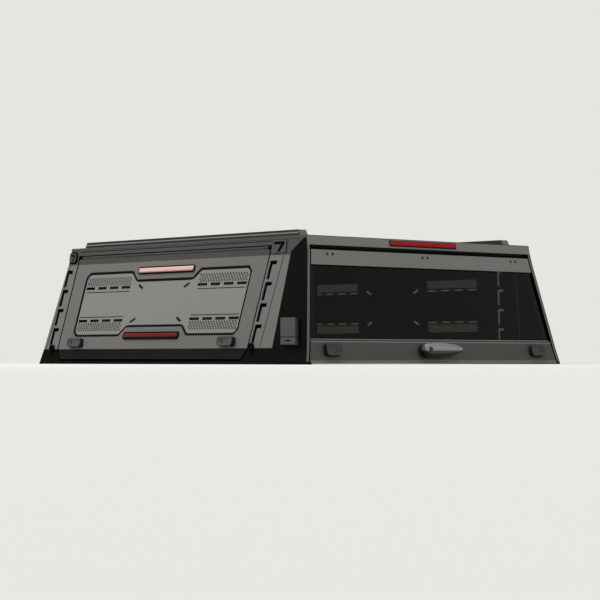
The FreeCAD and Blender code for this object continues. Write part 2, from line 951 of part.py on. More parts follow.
def rear_handle_base():
    centre, outward = rear_surface(handle_pivot, handle_level, 0)
    return Part.makeCylinder(handle_base_radius, handle_base_proud, centre, outward)


def rear_handle_lever():
    """A boat-shaped lever on a round hub, turning about the hub."""
    centre, outward = rear_surface(handle_pivot, handle_level, -handle_base_proud - handle_gap)
    hub_length = lever_inner - handle_base_proud - handle_gap + sheet
    hub = Part.makeCylinder(handle_hub_radius, hub_length, centre, outward)
    low, high = handle_level - lever_half_height, handle_level + lever_half_height
    tip = handle_pivot + lever_reach
    outline = [
        (handle_pivot - lever_back, low + lever_half_height / 2),
        (handle_pivot - lever_back / 2, low),
        (handle_pivot + lever_reach / 2, low),
        (tip, handle_level - lever_tip_half_height),
        (tip, handle_level + lever_tip_half_height),
        (handle_pivot + lever_reach / 2, high),
        (handle_pivot - lever_back / 2, high),
        (handle_pivot - lever_back, high - lever_half_height / 2),
    ]
    boat = bevelled(rear_piece(outline, -lever_face, -lever_inner), lever_bevel)
    return joined([hub, boat])


# Writing the pieces
os.makedirs("parts", exist_ok=True)
save("roof_panel", roof_panel())
save_sides("roof_rail", roof_rail())
save("rear_header", rear_header())
save("brake_light", brake_light())
save("front_wall", front_wall())
save("front_window", front_window())
save("base_frame", base_frame())
save("base_seal", base_seal())
save_sides("cant_rail", cant_rail())
save_sides("front_post", front_post())
save_sides("rear_post", rear_post())
save_sides("rear_quarter", rear_quarter())
save_sides("lower_skirt", lower_skirt())
save_sides("side_jamb", side_jamb())
save("rear_jamb", rear_jamb())
save_sides("tie_points", tie_points())
save_sides("access_box", access_box())
save_sides("side_hinge", fixed_hinge(side_place, side_hinge_along))
save("rear_hinge", fixed_hinge(rear_place, rear_hinge_along))
save_sides("side_door_skin", side_door_skin())
save_sides("side_door_frame", side_door_frame())
save_sides("side_door_insert", side_door_insert())
save_sides("side_door_lamps", side_door_lamps())
save_sides("side_door_locks", side_door_locks())
save("rear_glass", rear_glass())
save("rear_door_frame", rear_door_frame())
save("rear_door_top_plate", rear_door_top_plate())
save("rear_door_bottom_rail", rail_channel(rear_door_bottom + sheet, rear_door_bottom + sheet + bottom_rail_height))
save("rear_locks", rear_locks())
save("rear_handle_base", rear_handle_base())
save("rear_handle_lever", rear_handle_lever())
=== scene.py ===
import json
import math
from contextlib import contextmanager

import bmesh
import bpy
from mathutils import Matrix, Vector


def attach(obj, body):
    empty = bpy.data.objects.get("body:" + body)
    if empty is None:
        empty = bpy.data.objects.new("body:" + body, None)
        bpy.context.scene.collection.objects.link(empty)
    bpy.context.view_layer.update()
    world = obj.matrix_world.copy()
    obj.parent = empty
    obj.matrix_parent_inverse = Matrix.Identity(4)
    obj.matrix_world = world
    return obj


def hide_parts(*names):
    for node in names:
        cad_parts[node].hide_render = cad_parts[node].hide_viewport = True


# Looks of the folded-sheet canopy, in metres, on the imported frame
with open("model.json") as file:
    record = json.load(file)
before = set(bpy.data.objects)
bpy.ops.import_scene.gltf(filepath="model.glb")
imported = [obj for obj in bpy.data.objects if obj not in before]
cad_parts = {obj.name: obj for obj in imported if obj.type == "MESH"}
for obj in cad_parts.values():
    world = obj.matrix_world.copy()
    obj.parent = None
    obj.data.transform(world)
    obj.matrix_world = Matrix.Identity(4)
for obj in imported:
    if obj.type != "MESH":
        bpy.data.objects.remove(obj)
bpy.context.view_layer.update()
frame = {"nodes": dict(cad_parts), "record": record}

# Sizes shared with the construction
rear_edge = -0.828007
base_length = 1.688
base_half_width = 0.712
body_height = 0.489
low_fold = (0.697, 0.062)
high_fold = (0.630, 0.418)
top_fold = (0.622, 0.489)
rear_setback = 0.096
front_setback = 0.115
sheet = 0.0025
door_shear = 0.15
door_top = 0.441
door_rear_station = 0.294
door_front_station = 1.514
door_middle = (door_rear_station + door_front_station) / 2
insert_half = 0.532
insert_top = 0.383
insert_bottom = 0.113
notch_half = 0.178
lamp_length = 0.350
lamp_height = 0.020
lamp_levels = (0.115, 0.381)
lamp_depth = 0.008
bezel_edge = 0.005
lock_level = 0.087
lock_size = (0.090, 0.037)
rear_lock_size = (0.082, 0.046)
rear_lock_level = 0.054
lock_depth = 0.0195
corner_strip = 0.012
seam = 0.007
eye_level = 0.066
eye_stations = (0.32385, 1.61185)
header_light = (0.187, 0.460, 0.482)
handle_level = 0.052
handle_pivot = -0.084
sides = (("left", -1), ("right", 1))
lower_facet = ((base_half_width, 0.0), low_fold)
middle_facet = (low_fold, high_fold)
upper_facet = (high_fold, top_fold)
rear_run = rear_setback / body_height

# Sizes of the finer work
merging = 0.00001
facing = 0.9
sheet_edge = 0.0007
fine_edge = 0.0002
shade_rim_width = 0.0022
hem_width = 0.0034
line_levels = (-0.0004, 0.0003)


def half_width(height):
    """Half the width of the shell at a height below its low fold."""
    return base_half_width + (low_fold[0] - base_half_width) * height / low_fold[1]


def rear_station(height):
    return rear_setback * height / body_height


def front_station(height):
    return base_length - front_setback * height / body_height


def door_rear(height):
    return door_rear_station + door_shear * (door_top - height)


def door_front(height):
    return door_front_station + door_shear * (door_top - height)


# Selecting and shaping
def deselect():
    bpy.ops.object.select_all(action="DESELECT")


def activate(piece):
    deselect()
    piece.select_set(True)
    bpy.context.view_layer.objects.active = piece


@contextmanager
def shaping(piece, kind="FACE"):
    """Edit mode on one piece, with nothing selected at the start."""
    activate(piece)
    bpy.ops.object.mode_set(mode="EDIT")
    bpy.ops.mesh.select_mode(type=kind)
    bpy.ops.mesh.select_all(action="DESELECT")
    yield
    bpy.ops.object.mode_set(mode="OBJECT")


def choose(piece, kind, test):
    """Selects the faces, edges or corners that pass a test."""
    shape = bmesh.from_edit_mesh(piece.data)
    for group in (shape.faces, shape.edges, shape.verts):
        for part in group:
            part.select_set(False)
    for part in getattr(shape, kind):
        if test(part):
            part.select_set(True)
    shape.select_flush_mode()
    bmesh.update_edit_mesh(piece.data)


def take_all():
    bpy.ops.mesh.select_all(action="SELECT")


def upward(face):
    return face.normal.z > facing


def downward(face):
    return face.normal.z < -facing


def pull(rise):
    """Extrudes what is selected straight up."""
    bpy.ops.mesh.extrude_region_move(TRANSFORM_OT_translate={"value": (0, 0, rise)})


def lift(rise):
    """Moves what is selected straight up."""
    bpy.ops.transform.translate(value=(0, 0, rise))


def dish(piece, margin, depth):
    """Sinks the top of a piece inside a margin."""
    with shaping(piece):
        choose(piece, "faces", upward)
        bpy.ops.mesh.inset(thickness=margin)
        pull(-depth)
    return piece


def round_uprights(piece, radius, steps, height):
    """Rounds the upright edges that are longer than a height."""
    with shaping(piece, "EDGE"):
        choose(piece, "edges", lambda edge: abs((edge.verts[0].co - edge.verts[1].co).z) > height)
        bpy.ops.mesh.bevel(offset=radius, segments=steps, affect="EDGES")


def added(name, data):
    """A new object of the scene."""
    thing = bpy.data.objects.new(name, data)
    bpy.context.scene.collection.objects.link(thing)
    return thing


def named(piece, name):
    piece.name = name
    piece.data.name = name
    return piece


def settle(name):
    """Names the primitive that was just added and moves its place into its mesh."""
    bpy.ops.object.transform_apply(location=True, rotation=True, scale=True)
    return named(bpy.context.object, name)


def cuboid(name, low, high):
    """A box to start from, between two corners."""
    centre = [(a + b) / 2 for a, b in zip(low, high)]
    size = [b - a for a, b in zip(low, high)]
    deselect()
    bpy.ops.mesh.primitive_cube_add(size=1, location=centre, scale=size)
    return settle(name)


def rod(name, radius, length, centre, corners):
    """An upright round bar to start from."""
    deselect()
    bpy.ops.mesh.primitive_cylinder_add(vertices=corners, radius=radius, depth=length, location=centre)
    return settle(name)


def flat(name, outline, level=0.0):
    """One flat face with an outline."""
    deselect()
    bpy.ops.mesh.primitive_circle_add(vertices=len(outline), radius=1, fill_type="NGON")
    piece = settle(name)
    for corner, (x, y) in zip(piece.data.vertices, outline):
        corner.co = (x, y, level)
    return piece


def slab(name, outline, low, high):
    """A flat outline pulled up from one level to another."""
    piece = flat(name, outline, low)
    with shaping(piece):
        take_all()
        pull(high - low)
    return tidied(piece)


def ring(name, outline, width, height, corner=0.0):
    """A flat ring inside an outline, with sharp or round corners, pulled up to a height."""
    piece = flat(name, outline)
    with shaping(piece):
        take_all()
        if corner:
            bpy.ops.mesh.bevel(offset=corner, segments=4, affect="VERTICES")
            take_all()
        bpy.ops.mesh.inset(thickness=width)
        bpy.ops.mesh.delete(type="FACE")
        take_all()
        pull(height)
    return tidied(piece)


def tidied(piece, flattened=False):
    """Merges the corners of a closed piece and turns all its faces outwards."""
    with shaping(piece):
        take_all()
        bpy.ops.mesh.remove_doubles(threshold=merging)
        if flattened:
            bpy.ops.mesh.dissolve_limited(angle_limit=math.radians(0.5))
        bpy.ops.mesh.normals_make_consistent(inside=False)
    return piece


def apply_modifier(piece, kind, **settings):
    activate(piece)
    modifier = piece.modifiers.new(kind.lower(), kind)
    for key, value in settings.items():
        setattr(modifier, key, value)
    bpy.ops.object.modifier_apply(modifier=modifier.name)
    return piece


def softened(piece, width=0.0008, steps=2, angle=30):
    """Rounds the sharp edges and smooths what is rounded."""
    apply_modifier(piece, "BEVEL", width=width, segments=steps, limit_method="ANGLE",
                   angle_limit=math.radians(angle), harden_normals=False)
    bpy.ops.object.shade_smooth_by_angle(angle=math.radians(50))
    return apply_modifier(piece, "WEIGHTED_NORMAL", keep_sharp=True, weight=90)


def joined(name, pieces):
    deselect()
    for piece in pieces:
        piece.select_set(True)
    bpy.context.view_layer.objects.active = pieces[0]
    bpy.ops.object.join()
    return named(bpy.context.object, name)


def cut(piece, cutter):
    """Takes a cutter out of a piece."""
    apply_modifier(piece, "BOOLEAN", operation="DIFFERENCE", solver="EXACT", object=cutter)
    bpy.data.objects.remove(cutter)
    return piece


def shifted(piece, x, y, z):
    piece.data.transform(Matrix.Translation((x, y, z)))
    return piece


def placed(piece, matrix):
    """Puts a piece that was made flat into its place, and keeps its faces outwards."""
    piece.data.transform(matrix)
    if matrix.to_3x3().determinant() < 0:
        piece.data.flip_normals()
    return piece


# Places on the shell
def place_from(*columns):
    """A matrix from three directions and a point."""
    return Matrix([(*column, last) for column, last in zip(columns, (0, 0, 0, 1))]).transposed()


def side_place(sign, station, level=0.0, lean=0.0, facet=middle_facet):
    """A place on a side: first along the station, then height, then outwards."""
    (x1, z1), (x2, z2) = facet
    run = (x1 - x2) / (z2 - z1)
    outward = Vector((1, 0, run)).normalized()
    x = x1 - run * (level - z1)
    return place_from((0, 1, 0), (-run * sign, -lean, 1), (outward.x * sign, 0, outward.z),
                      (x * sign, rear_edge + station, level))


def rear_place(x, level):
    """A place on the rear face: first across, then height, then outwards."""
    outward = Vector((0, -1, rear_run)).normalized()
    return place_from((1, 0, 0), (0, rear_run, 1), outward, (x, rear_edge + rear_run * level, level))


def cross_place(x, y, z):
    """A place for a section: first along the canopy, then height, then across."""
    return place_from((0, 1, 0), (0, 0, 1), (1, 0, 0), (x, y, z))


# Shader maths
class Field:
    """A socket of a material, with arithmetic that adds Math nodes."""

    def __init__(self, tree, socket):
        self.tree = tree
        self.socket = socket

    def node(self, kind, settings=None, inputs=None, output=0):
        """Adds a node with its settings, then the values or links of its sockets."""
        made = self.tree.nodes.new(kind)
        for key, value in (settings or {}).items():
            setattr(made, key, value)
        for key, value in (inputs or {}).items():
            if isinstance(value, Field):
                self.tree.links.new(value.socket, made.inputs[key])
            else:
                made.inputs[key].default_value = value
        return Field(self.tree, made.outputs[output])

    def maths(self, operation, second=0.0, first=None):
        """A Math node on this value, or on another one that comes first."""
        first = self if first is None else first
        return self.node("ShaderNodeMath", {"operation": operation}, {0: first, 1: second})

    def __add__(self, other):
        return self.maths("ADD", other)

    def __sub__(self, other):
        return self.maths("SUBTRACT", other)

    def __rsub__(self, other):
        return self.maths("SUBTRACT", self, other)

    def __mul__(self, other):
        return self.maths("MULTIPLY", other)

    __radd__ = __add__
    __rmul__ = __mul__

    def __gt__(self, other):
        return self.maths("GREATER_THAN", other)

    def __abs__(self):
        return self.maths("ABSOLUTE")

    def part(self, axis):
        """One coordinate of a place."""
        return self.node("ShaderNodeSeparateXYZ", inputs={0: self}, output=axis)

    def noise(self, scale, detail=2.0, roughness=0.5):
        return self.node("ShaderNodeTexNoise", inputs={"Vector": self, "Scale": scale, "Detail": detail,
                                                       "Roughness": roughness})

    def blend(self, first, second):
        """A mix of two colours, with this value as the share of the second."""
        return self.node("ShaderNodeMix", {"data_type": "RGBA"}, {0: self, 6: first, 7: second}, output=2)

    def ramp(self, low, high):
        """0 below the low value and 1 above the high one, with a smooth step between."""
        return self.node("ShaderNodeMapRange", {"interpolation_type": "SMOOTHSTEP"},
                         {"Value": self, "From Min": low, "From Max": high})

    def bump(self, height, strength):
        return self.node("ShaderNodeBump", inputs={"Height": self, "Distance": height, "Strength": strength})


def distance(first, second):
    return (first * first + second * second).maths("SQRT")


def colour(red, green, blue):
    """A colour written as screen values from 0 to 255."""
    def linear(value):
        value /= 255
        return value / 12.92 if value <= 0.04045 else ((value + 0.055) / 1.055) ** 2.4
    return (linear(red), linear(green), linear(blue), 1.0)


def shade(value, share):
    return tuple(channel * share for channel in value[:3]) + (1.0,)


class Finish:
    """A material that starts with its place in space and ends in one shader."""

    def __init__(self, name):
        self.material = bpy.data.materials.new(name)
        self.material.use_nodes = True
        self.tree = self.material.node_tree
        self.tree.nodes.clear()
        start = self.tree.nodes.new("ShaderNodeTexCoord")
        self.place = Field(self.tree, start.outputs["Object"])

    def shader(self, **values):
        """A Principled shader from values and fields named by their sockets."""
        inputs = {key.replace("_", " "): value for key, value in values.items()}
        return self.place.node("ShaderNodeBsdfPrincipled", inputs=inputs)

    def done(self, shader):
        end = self.tree.nodes.new("ShaderNodeOutputMaterial")
        self.tree.links.new(shader.socket, end.inputs["Surface"])
        return self.material

    def surface(self, **values):
        """The finished material of one Principled shader."""
        return self.done(self.shader(**values))


# Finishes
light_grey = colour(131, 131, 126)
grey = colour(113, 112, 108)
rail_grey = colour(84, 83, 79)
deep_grey = colour(75, 74, 71)
black = colour(9, 9, 8)
dust_tone = colour(150, 144, 132)
dust_height = 0.30
banded_gloss = 0.08
frame_fold = 0.4395


def tones_of(base):
    return shade(base, 0.80), shade(base, 1.22)


def coated(finish, deep, light, gloss):
    """A matt textured powder coat between two tones: orange peel, cloudy patches and a little dust."""
    place = finish.place
    peel = place.noise(1300, 2.0, 0.6) * 0.7 + place.noise(420) * 0.3
    mottle = place.noise(5.0, 3.0) * 0.10 + place.noise(60) * 0.06 + peel * 0.22
    low_down = 1 - place.part(2).ramp(0.0, dust_height)
    dust = low_down * place.noise(14, 4.0, 0.6).ramp(0.45, 0.75) * 0.10 * gloss
    return finish.surface(Base_Color=dust.blend((mottle + 0.31).blend(deep, light), dust_tone),
                          Roughness=place.noise(9) * 0.12 + peel * 0.10 + 0.46,
                          Specular_IOR_Level=gloss, Normal=peel.bump(0.00010, 0.55))


def plain_coat(name, base, gloss):
    return coated(Finish(name), *tones_of(base), gloss)


def banded_coat(name, lower, middle, upper, high=high_fold[1]):
    """One tone below the low fold, another up to a height and a third one above it. On the door skins and
    front wall the third tone, a deep grey, is painted shade over the upper band.
    """
    finish = Finish(name)
    level = finish.place.part(2)
    above, top = level > low_fold[1], level > high
    tones = [top.blend(above.blend(low, mid), deep)
             for low, mid, deep in zip(tones_of(lower), tones_of(middle), tones_of(upper))]
    return coated(finish, *tones, banded_gloss)


def anodised():
    """Black anodised section with fine lines along its length."""
    finish = Finish("black_anodised")
    drawn = finish.place.node("ShaderNodeVectorMath", {"operation": "MULTIPLY"},
                              {0: finish.place, 1: (900, 6, 900)})
    lines = drawn.noise(1.0, 3.0)
    return finish.surface(Base_Color=lines.blend(colour(24, 24, 25), colour(44, 44, 45)), Metallic=0.65,
                          Roughness=lines * 0.16 + 0.30, Normal=lines.bump(0.00003, 0.5))


def moulded_plastic():
    finish = Finish("moulded_black_plastic")
    place = finish.place
    leather = place.node("ShaderNodeTexVoronoi", {"feature": "F1"}, {"Vector": place, "Scale": 900})
    return finish.surface(Base_Color=place.noise(30, 3.0).blend(colour(17, 17, 17), colour(29, 29, 28)),
                          Roughness=place.noise(120) * 0.16 + 0.40, Normal=leather.bump(0.00008, 0.4))


def satin_lever():
    """Satin coat with a painted highlight over the upper half of the lever, rubbed in patches."""
    finish = Finish("satin_lever_paint")
    place = finish.place
    rub = place.noise(38, 4.0, 0.65).ramp(0.56, 0.74)
    # Painted highlight: light above this height, black below
    upper = place.part(2).ramp(handle_level - 0.003, handle_level + 0.008)
    coat_with_painted_highlight = upper.blend(colour(26, 26, 26), colour(150, 150, 147))
    return finish.surface(Base_Color=(rub * 0.35).blend(coat_with_painted_highlight, colour(112, 112, 110)), Metallic=0.4,
                          Roughness=place.noise(160) * 0.12 + 0.26, Coat_Weight=0.3, Coat_Roughness=0.2,
                          Normal=place.noise(700).bump(0.00003, 0.4))


def red_lens(name, low, high, foot, head):
    """Clear red plastic over short upright ribs, from a painted shade at its foot to a painted highlight at
    its head.
    """
    finish = Finish(name)
    place = finish.place
    ribs = ((place.part(1) + place.part(0)) * 900).maths("SINE") * 0.5 + 0.5
    # Painted light: shade towards the foot, highlight towards the head
    rise = place.part(2).ramp(foot, head)
    tone = (ribs * 0.3).blend(rise.blend(low, high), rise.blend(shade(low, 0.5), shade(high, 0.7)))
    return finish.surface(Base_Color=tone, Roughness=place.noise(50) * 0.10 + 0.16, Specular_IOR_Level=0.12,
                          Coat_Weight=0.06, Coat_Roughness=0.05, Normal=ribs.bump(0.0003, 0.4))


def mottled(name, tones, speckle, grit, rough, bumps=None, **values):
    """A material between two tones, with one noise for its tone and another for its roughness."""
    finish = Finish(name)
    place = finish.place
    if bumps:
        scale, height, strength = bumps
        values["Normal"] = place.noise(scale).bump(height, strength)
    return finish.surface(Base_Color=place.noise(*speckle).blend(*tones),
                          Roughness=place.noise(grit) * 0.2 + rough, **values)


def tinted_glass(name, half_top, half_bottom, low, high, band, tint):
    """Dark glass with a printed black border whose inner corners are round."""
    finish = Finish(name)
    place = finish.place
    x, z = abs(place.part(0)), place.part(2)
    slope = (half_bottom - half_top) / (high - low)
    side_room = half_bottom - (z - low) * slope - x
    end_room = (abs(z - (low + high) / 2) - (high - low) / 2) * -1
    corner = band * 2.2
    across = (corner + band - side_room).maths("MAXIMUM", 0.0)
    along = (corner + band - end_room).maths("MAXIMUM", 0.0)
    printed = distance(across, along) > corner
    smear = place.noise(7, 4.0, 0.6)
    glass = finish.shader(Base_Color=shade((1.0, 1.03, 0.93), tint), Roughness=smear * 0.03, IOR=1.2,
                          Transmission_Weight=1.0)
    border = finish.shader(Base_Color=(smear * 0.5).blend(colour(8, 8, 8), colour(16, 16, 15)),
                           Roughness=smear * 0.05 + 0.08, Specular_IOR_Level=0.13)
    return finish.done(place.node("ShaderNodeMixShader", inputs={0: printed, 1: glass, 2: border}))


finishes = {
    "light_grey": plain_coat("light_grey_powder_coat", light_grey, 0.30),
    "grey": plain_coat("grey_powder_coat", grey, 0.22),
    "rail_grey": plain_coat("rail_grey_powder_coat", rail_grey, 0.20),
    "deep_grey": plain_coat("deep_grey_powder_coat", deep_grey, 0.18),
    "black": plain_coat("black_powder_coat", black, 0.03),
    # The deep grey upper tone of the door skins and front wall is painted shade
    "bands": banded_coat("banded_powder_coat", black, grey, deep_grey),
    "frame_bands": banded_coat("frame_banded_powder_coat", black, black, deep_grey, frame_fold),
    "anodised": anodised(),
    "plastic": moulded_plastic(),
    "lever": satin_lever(),
    # The lenses are darker at their foot as painted shade and lighter at their head as a painted highlight;
    # the upper lens's pale head is a painted reflection
    "lower_lens": red_lens("lower_red_lens", colour(40, 2, 4), colour(108, 10, 14), 0.104, 0.120),
    "upper_lens": red_lens("upper_red_lens", colour(80, 10, 16), colour(236, 190, 184), 0.369, 0.379),
    "header_lens": red_lens("header_red_lens", colour(150, 4, 12), colour(190, 16, 26), *header_light[1:]),
    "rubber": mottled("seal_rubber", (colour(7, 6, 6), colour(14, 13, 13)), (80, 3.0), 200, 0.62,
                      (1500, 0.00006, 0.5), Specular_IOR_Level=0.06),
    "steel": mottled("zinc_plated_steel", (colour(120, 120, 118), colour(178, 178, 174)), (140, 3.0), 300,
                     0.24, (900, 0.00003, 0.4), Metallic=0.9),
    "dark": mottled("dark_recess", (colour(4, 4, 4), colour(9, 9, 9)), (60, 2.0), 90, 0.70,
                    Specular_IOR_Level=0.05),
    "rear_glass": tinted_glass("rear_tinted_glass", half_top=0.606, half_bottom=0.674, low=0.017,
                               high=0.432, band=0.022, tint=0.07),
    "front_glass": tinted_glass("front_tinted_glass", half_top=0.486, half_bottom=0.486, low=0.134,
                                high=0.426, band=0.018, tint=0.02),
}


middle_of_space = Vector((0, (rear_station(0.2) + front_station(0.2)) / 2 + rear_edge, 0.15))


def faced(piece, test, finish):
    """Gives another finish to the faces of a piece that pass a test."""
    piece.data.materials.append(finishes[finish])
    for face in piece.data.polygons:
        if test(face):
            face.material_index = 1


def finished(piece, body, finish, *nodes, inside=None):
    """Gives a piece its finish, and another to its faces that look into the canopy."""
    piece.data.materials.clear()
    piece.data.materials.append(finishes[finish])
    if inside:
        faced(piece, lambda face: face.normal.dot((middle_of_space - face.center).normalized()) > 0.12,
              inside)
    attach(piece, body)
    if nodes:
        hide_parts(*nodes)
    return piece


# Pieces that keep the shape of their nodes, with folds and soft edges
def merged(node):
    """A node's copy as one clean mesh."""
    return tidied(added(node + "_finished", frame["nodes"][node].data.copy()), flattened=True)


members_of = frame["record"]["behaviour"]["bodies"]
body_of = {node: body for body, members in members_of.items() for node in members}
# The cant rail is deep grey as painted shade over the upper zone of the sides; the roof panel takes the same
# deep grey
coat_of = {
    "roof_panel": "deep_grey", "roof_rail": "anodised", "rear_header": "light_grey",
    "front_wall": "bands", "front_window": "front_glass", "base_frame": "black",
    "base_seal": "rubber", "cant_rail": "deep_grey", "front_post": "grey", "rear_post": "grey",
    "rear_quarter": "black", "lower_skirt": "black", "side_jamb": "black", "rear_jamb": "grey",
    "side_hinge": "anodised", "rear_hinge": "anodised", "side_door_skin": "bands",
    "side_door_frame": "frame_bands", "rear_glass": "rear_glass", "rear_door_frame": "black",
    "rear_door_top_plate": "light_grey", "rear_door_bottom_rail": "rail_grey",
}
sheets = ("roof_panel", "rear_header", "front_wall", "cant_rail", "front_post", "rear_post", "rear_quarter",
          "side_door_skin", "rear_jamb")
rail_shoulder = 0.0955
rail_fall = 0.013
crease_foot, crease_head = (0.277, 0.062), (0.213, 0.421)
crease_half = 0.0016
crease_fall = 0.0030


def slope_rail(piece):
    """Turns the top of the rear door's bottom rail into a slope up to the glass."""
    def outer_top(corner):
        return corner.co.z > rail_shoulder and corner.co.y < rear_edge + rear_run * corner.co.z + 0.001

    with shaping(piece, "VERT"):
        choose(piece, "verts", outer_top)
        bpy.ops.transform.translate(value=(0, -rear_run * rail_fall, -rail_fall))


def crease_post(piece):
    """Folds the strip along the rear post's rear edge a little inwards."""
    sign = 1 if piece.data.vertices[0].co.x > 0 else -1
    (low_y, low_z), (high_y, high_z) = crease_foot, crease_head

    def behind(corner):
        crease = low_y + (high_y - low_y) * (corner.co.z - low_z) / (high_z - low_z)
        return corner.co.y - rear_edge < crease - 0.020

    along = Vector((0, high_y - low_y, high_z - low_z)).normalized()
    normal = Vector((0, along.z, -along.y))
    with shaping(piece):
        for side in (-1, 1):
            take_all()
            start = Vector((0, rear_edge + low_y, low_z)) + normal * side * crease_half
            bpy.ops.mesh.bisect(plane_co=start, plane_no=normal)
    with shaping(piece, "VERT"):
        choose(piece, "verts", behind)
        bpy.ops.transform.translate(value=(-sign * crease_fall, 0, 0))


for node, body in sorted(body_of.items()):
    stem = node.replace("_left", "").replace("_right", "")
    if stem in coat_of:
        piece = merged(node)
        if stem == "rear_door_bottom_rail":
            slope_rail(piece)
        if stem == "rear_post":
            crease_post(piece)
        softened(piece, sheet_edge)
        # Faces that look into the canopy take black: painted shade inside it
        finished(piece, body, coat_of[stem], node, inside="black" if stem in sheets else None)
        # The upward slope of the rail takes light grey as a painted highlight
        if stem == "rear_door_bottom_rail":
            faced(piece, lambda face: face.center.z > 0.086 and face.normal.y < -0.3, "light_grey")


# Outlines and fine pieces
def rectangle(left, low, right, high):
    return [(left, low), (right, low), (right, high), (left, high)]


def pressed_line(start, end, width):
    """A narrow outline from one point to another."""
    start, end = Vector(start), Vector(end)
    along = (end - start).normalized()
    across = Vector((-along.y, along.x)) * (width / 2)
    return [start - across, end - across, end + across, start + across]


def widened(outline, width):
    """An outline whose sides have all moved outwards by a width."""
    corners = [Vector(corner) for corner in outline]
    turns = list(zip(corners[-1:] + corners[:-1], corners, corners[1:] + corners[:1]))
    side = math.copysign(width, sum(corner.cross(after) for _, corner, after in turns))
    wider = []
    for before, corner, after in turns:
        first, second = (corner - before).normalized(), (after - corner).normalized()
        away = Vector((first.y + second.y, -first.x - second.x))
        wider.append(corner + away * (side / (1 + first.dot(second))))
    return wider


def shade_rim_round(name, outline, height):
    """A thin rim round an outline, used as painted shade at a slot."""
    return softened(ring(name, widened(outline, shade_rim_width), shade_rim_width, height), 0.0003, 1)


def crisp(piece):
    """Rounds the edges of a fine piece."""
    return softened(piece, fine_edge, 1)


# Side door insert: slots, perforated bands and pressed lines
band_centres = (-0.366, 0.366)
band_half = 0.147
band_rows = ((0.325, 0.359), (0.137, 0.171))
band_lines = 4
band_columns = 36
band_hole = 0.0069
gasket_width = 0.0098
gasket_height = 0.0016
slot_half = (0.0266, 0.0031)
slot_places = [0.486 - 0.080 * index for index in range(4)]
slot_rows = (0.180, 0.316)
groove_levels = (0.299, 0.195)
tick_lines = (((0.132, 0.308), (0.163, 0.324)), ((0.132, 0.187), (0.163, 0.171)))
tick_width = 0.0105


def perforated_band(length, height):
    """A flat strip of sheet with small holes in every second square of its grid."""
    width, rise = length / band_columns, height / band_lines
    deselect()
    bpy.ops.mesh.primitive_grid_add(x_subdivisions=band_columns, y_subdivisions=band_lines, size=1)
    bpy.context.object.scale = (length, height, 1)
    strip = settle("perforated_band")

    def to_open(face):
        middle = face.calc_center_median()
        column = int((middle.x + length / 2) / width)
        row = int((middle.y + height / 2) / rise)
        return (column + row) % 2 == 0

    with shaping(strip):
        choose(strip, "faces", to_open)
        bpy.ops.mesh.inset(thickness=(width - band_hole) / 2, use_individual=True)
        bpy.ops.mesh.delete(type="FACE")
    return strip


def insert_outline():
    """The insert's outline, with a notch for each lamp, along the insert and up."""
    corner, slope, notch = 0.022, 0.040, 0.037
    quarter = [(notch_half, notch), (notch_half + slope, 0), (insert_half - corner, 0), (insert_half, corner)]
    bottom = [(x, insert_bottom + rise) for x, rise in quarter]
    top = [(x, insert_top - rise) for x, rise in quarter[::-1]]
    right = bottom + top
    return right + [(-x, z) for x, z in right[::-1]]


def insert_place(sign):
    return side_place(sign, door_middle + door_shear * door_top, lean=door_shear)


def insert_gasket(label, sign):
    """The black gasket in the joint between the door's skin and its insert."""
    gasket = ring("insert_gasket_" + label, insert_outline(), gasket_width, gasket_height, corner=0.011)
    shifted(softened(gasket, 0.0006), 0, 0, -0.0026)
    finished(placed(gasket, insert_place(sign)), "door_" + label, "rubber")


def side_insert(label, sign):
    """The recessed panel of a side door."""
    node = "side_door_insert_" + label
    panel = merged(node)
    place = insert_place(sign)
    depth = -sheet / math.sqrt(1 + place.col[1][0] ** 2)
    bands = [(centre, low, high) for low, high in band_rows for centre in band_centres]
    cutters = [slab("band", rectangle(centre - band_half, low, centre + band_half, high), 3 * depth, -depth)
               for centre, low, high in bands]
    for way in (-1, 1):
        for line in tick_lines:
            ends = [(way * across, level) for across, level in line]
            cutters.append(slab("tick", pressed_line(*ends, tick_width), 3 * depth, -depth))
        for level in groove_levels:
            groove = pressed_line((way * 0.219, level), (way * 0.513, level), 0.0034)
            cutters.append(slab("groove", groove, depth - 0.0014, -depth))
    cut(panel, tidied(placed(joined("insert_cutter", cutters), place)))
    strips = [shifted(perforated_band(2 * band_half, high - low), centre, (low + high) / 2, depth * 1.2)
              for centre, low, high in bands]
    strip = placed(joined("insert_bands", strips), place)
    softened(panel, 0.0005)
    # The insert's inner faces take black: painted shade inside the canopy
    finished(joined(node + "_finished", [panel, strip]), "door_" + label, "light_grey", node, inside="black")
    insert_shades(label, place, depth)


def insert_shades(label, place, depth):
    """Black rims round the slots and black strips in the pressed lines of an insert, as painted shade."""
    half_long, half_high = slot_half
    shades = []
    for way in (-1, 1):
        for row in slot_rows:
            for middle in slot_places:
                outline = rectangle(way * middle - half_long, row - half_high,
                                    way * middle + half_long, row + half_high)
                shades.append(shifted(shade_rim_round("slot_trim", outline, 0.0042), 0, 0, depth - 0.0034))
        for level in groove_levels:
            line = pressed_line((way * 0.220, level), (way * 0.512, level), 0.0030)
            shade_strip = crisp(slab("groove_filler", line, 0, 0.0006))
            shades.append(shifted(shade_strip, 0, 0, depth - 0.0010))
    finished(placed(joined("insert_trims_" + label, shades), place), "door_" + label, "rubber")


# Black rims of the tie slots in the posts, as painted shade
slot_width, arm, arm_height = 0.011, 0.028, 0.010
first_slot, last_slot, slot_bridge, slot_count = 0.394, 0.084, 0.0155, 4


